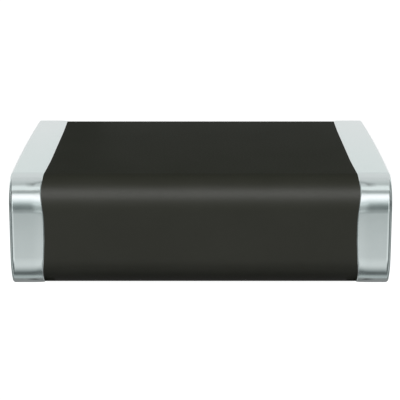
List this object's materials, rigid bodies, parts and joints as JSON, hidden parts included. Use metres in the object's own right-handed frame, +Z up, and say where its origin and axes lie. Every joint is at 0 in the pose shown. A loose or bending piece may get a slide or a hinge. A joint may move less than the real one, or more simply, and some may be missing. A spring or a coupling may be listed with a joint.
{
  "type": "smd varistor",
  "caption": "Surface-mount multilayer varistor: a dark satin ceramic block with inner electrodes, and a bright plated termination wrapped round each end for soldering.",
  "frame": {"origin": "middle of the footprint on the board, under the middle of the block", "axes": "+X along the length from the left termination to the right one, +Y across the width, +Z up off the board"},
  "size_m": [0.0058, 0.005, 0.0017],
  "materials": {
    "varistor_ceramic": "satin",
    "tin_plate": "gloss",
    "nickel_plate": "satin",
    "fired_silver": "matte",
    "electrode_metal": "satin"
  },
  "bodies": {
    "root": {"ceramic_body": "varistor_ceramic", "left_silver_base": "fired_silver", "left_nickel_barrier": "nickel_plate", "left_tin_finish": "tin_plate", "right_silver_base": "fired_silver", "right_nickel_barrier": "nickel_plate", "right_tin_finish": "tin_plate", "left_electrode_1": "electrode_metal", "right_electrode_2": "electrode_metal", "left_electrode_3": "electrode_metal", "right_electrode_4": "electrode_metal", "left_electrode_5": "electrode_metal", "right_electrode_6": "electrode_metal", "left_electrode_7": "electrode_metal", "right_electrode_8": "electrode_metal", "left_electrode_9": "electrode_metal", "right_electrode_10": "electrode_metal"}
  },
  "joints": []
}
